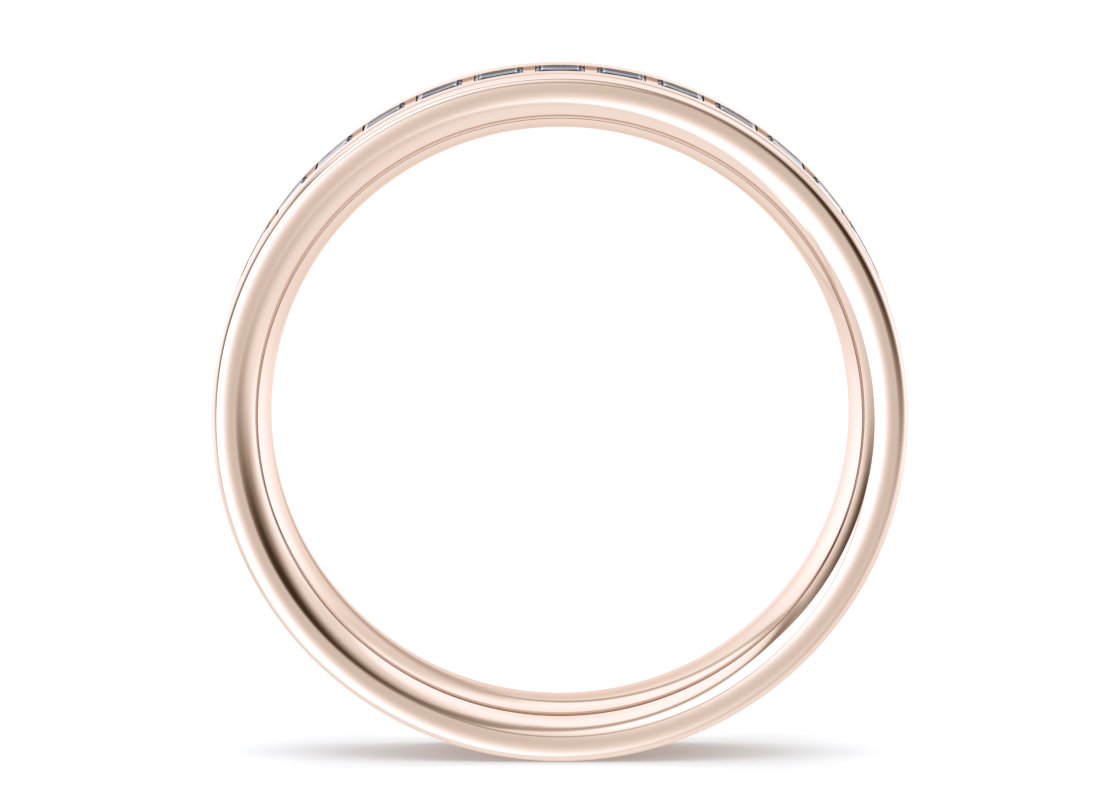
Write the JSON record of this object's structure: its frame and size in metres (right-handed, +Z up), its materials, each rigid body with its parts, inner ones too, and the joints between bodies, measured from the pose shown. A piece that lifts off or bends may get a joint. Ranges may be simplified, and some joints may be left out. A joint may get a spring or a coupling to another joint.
{
  "type": "wedding band",
  "caption": "Flat-topped polished band with a comfort-fit inside, its upper half channel set with a row of rectangular step-cut stones between two rails.",
  "frame": {"origin": "centre of the finger hole, half way across the band", "axes": "+Y along the finger, +Z up through the middle stone, +X to the right seen from the front"},
  "size_m": [0.0204, 0.0034, 0.0204],
  "materials": {
    "rose_gold": "mirror polished",
    "diamond": "polished facets"
  },
  "bodies": {
    "root": {"comfort_fit_sleeve": "rose_gold", "front_rail": "rose_gold", "back_rail": "rose_gold", "channel_bed": "rose_gold", "lower_shank": "rose_gold", "diamond_01": "diamond", "diamond_02": "diamond", "diamond_03": "diamond", "diamond_04": "diamond", "diamond_05": "diamond", "diamond_06": "diamond", "diamond_07": "diamond", "diamond_08": "diamond", "diamond_09": "diamond", "diamond_10": "diamond", "diamond_11": "diamond", "diamond_12": "diamond", "diamond_13": "diamond", "diamond_14": "diamond", "diamond_15": "diamond", "diamond_16": "diamond", "diamond_17": "diamond"}
  },
  "joints": []
}
